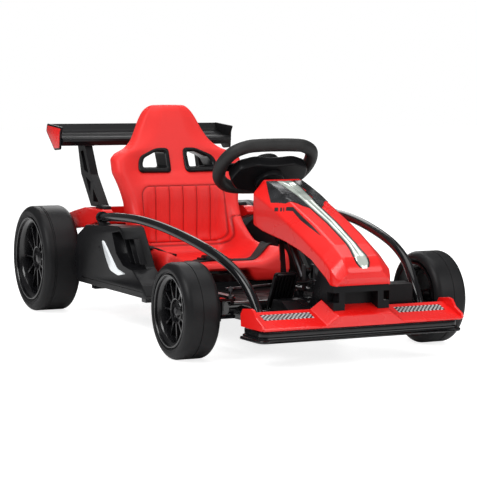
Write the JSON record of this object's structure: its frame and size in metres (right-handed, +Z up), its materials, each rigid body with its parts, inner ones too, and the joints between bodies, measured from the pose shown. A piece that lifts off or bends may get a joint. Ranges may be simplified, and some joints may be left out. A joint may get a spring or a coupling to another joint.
{
  "type": "electric drift kart",
  "caption": "Low electric ride-on drift kart with padded bucket seat, steering wheel, tapered nose, front wing, side bars, rear wing and four spoked wheels.",
  "frame": {"origin": "on the floor below the centre of the whole kart's box", "axes": "+X towards the nose, +Y the driver's left, +Z up"},
  "size_m": [1.272, 0.66, 0.514],
  "materials": {
    "red_gloss": "glossy moulded",
    "red_seat": "matte padded",
    "black_plastic": "satin moulded",
    "black_steel": "powder coated",
    "grey_steel": "zinc plated",
    "tyre_foam": "matte foam",
    "rim_black": "glossy moulded",
    "lamp_white": "translucent white",
    "strip_clear": "clear",
    "belt_web": "woven",
    "battery_case": "moulded"
  },
  "bodies": {
    "chassis": {"rear_cowl": "red_gloss", "nose_cone": "red_gloss", "front_wing": "red_gloss", "seat": "red_seat", "floor_tray": "black_plastic", "side_pod_left": "black_plastic", "side_pod_right": "black_plastic", "rear_housing": "black_plastic", "drive_gearboxes": "black_plastic", "wing_strut_left": "black_plastic", "wing_strut_right": "black_plastic", "wing_blade": "black_plastic", "wing_end_plates": "black_plastic", "harness_bezels": "black_plastic", "belt_buckle": "black_plastic", "nose_window": "black_plastic", "nose_pylon": "black_plastic", "front_bumper": "black_plastic", "pedal_base": "black_plastic", "drive_pedal": "black_plastic", "foot_rest": "black_plastic", "chassis_frame": "black_steel", "side_bar_left": "black_steel", "side_bar_right": "black_steel", "column_support": "black_steel", "front_axle_beam": "black_steel", "rear_axle_shaft": "grey_steel", "side_lamps": "lamp_white", "nose_light_strip": "strip_clear", "lap_belt": "belt_web", "battery_block": "battery_case"},
    "steering": {"steering_wheel": "black_plastic", "steering_hub": "black_plastic", "steering_column": "grey_steel"},
    "pitman": {"pitman_arm": "grey_steel"},
    "left_knuckle": {"knuckle_left": "grey_steel"},
    "right_knuckle": {"knuckle_right": "grey_steel"},
    "left_tie_rod": {"tie_rod_left": "grey_steel"},
    "right_tie_rod": {"tie_rod_right": "grey_steel"},
    "front_left_wheel": {"front_tyre_left": "tyre_foam", "front_rim_left": "rim_black"},
    "front_right_wheel": {"front_tyre_right": "tyre_foam", "front_rim_right": "rim_black"},
    "rear_left_wheel": {"rear_tyre_left": "tyre_foam", "rear_rim_left": "rim_black"},
    "rear_right_wheel": {"rear_tyre_right": "tyre_foam", "rear_rim_right": "rim_black"}
  },
  "joints": [
    {"name": "steering_turn", "type": "hinge", "parent": "chassis", "child": "steering", "pos_m": [0.181, 0, 0.381], "axis": [-0.6293, 0, 0.7771], "range_deg": [-30, 30]},
    {"name": "pitman_turn", "type": "hinge", "parent": "chassis", "child": "pitman", "pos_m": [0.346, 0, 0.127], "axis": [0, 0, 1], "range_deg": [-20.1, 20.1]},
    {"name": "left_kingpin", "type": "hinge", "parent": "chassis", "child": "left_knuckle", "pos_m": [0.402, 0.218, 0.1], "axis": [0, 0, 1], "range_deg": [-20.1, 20.1]},
    {"name": "left_tie_rod_pin", "type": "hinge", "parent": "left_knuckle", "child": "left_tie_rod", "pos_m": [0.462, 0.218, 0.137], "axis": [0, 0, 1], "range_deg": [-20.1, 20.1]},
    {"name": "front_left_spin", "type": "hinge", "parent": "left_knuckle", "child": "front_left_wheel", "pos_m": [0.402, 0.2915, 0.1], "axis": [0, 1, 0], "continuous": true},
    {"name": "rear_left_spin", "type": "hinge", "parent": "chassis", "child": "rear_left_wheel", "pos_m": [-0.505, 0.267, 0.131], "axis": [0, 1, 0], "continuous": true},
    {"name": "right_kingpin", "type": "hinge", "parent": "chassis", "child": "right_knuckle", "pos_m": [0.402, -0.218, 0.1], "axis": [0, 0, 1], "range_deg": [-20.1, 20.1]},
    {"name": "right_tie_rod_pin", "type": "hinge", "parent": "right_knuckle", "child": "right_tie_rod", "pos_m": [0.462, -0.218, 0.137], "axis": [0, 0, 1], "range_deg": [-20.1, 20.1]},
    {"name": "front_right_spin", "type": "hinge", "parent": "right_knuckle", "child": "front_right_wheel", "pos_m": [0.402, -0.2915, 0.1], "axis": [0, 1, 0], "continuous": true},
    {"name": "rear_right_spin", "type": "hinge", "parent": "chassis", "child": "rear_right_wheel", "pos_m": [-0.505, -0.267, 0.131], "axis": [0, 1, 0], "continuous": true}
  ],
  "couplings": [
    {"joint": "pitman_turn", "follows": "steering_turn", "ratio": 0.66667},
    {"joint": "left_kingpin", "follows": "steering_turn", "ratio": 0.66667},
    {"joint": "left_tie_rod_pin", "follows": "steering_turn", "ratio": -0.66667},
    {"joint": "right_kingpin", "follows": "steering_turn", "ratio": 0.66667},
    {"joint": "right_tie_rod_pin", "follows": "steering_turn", "ratio": -0.66667}
  ]
}
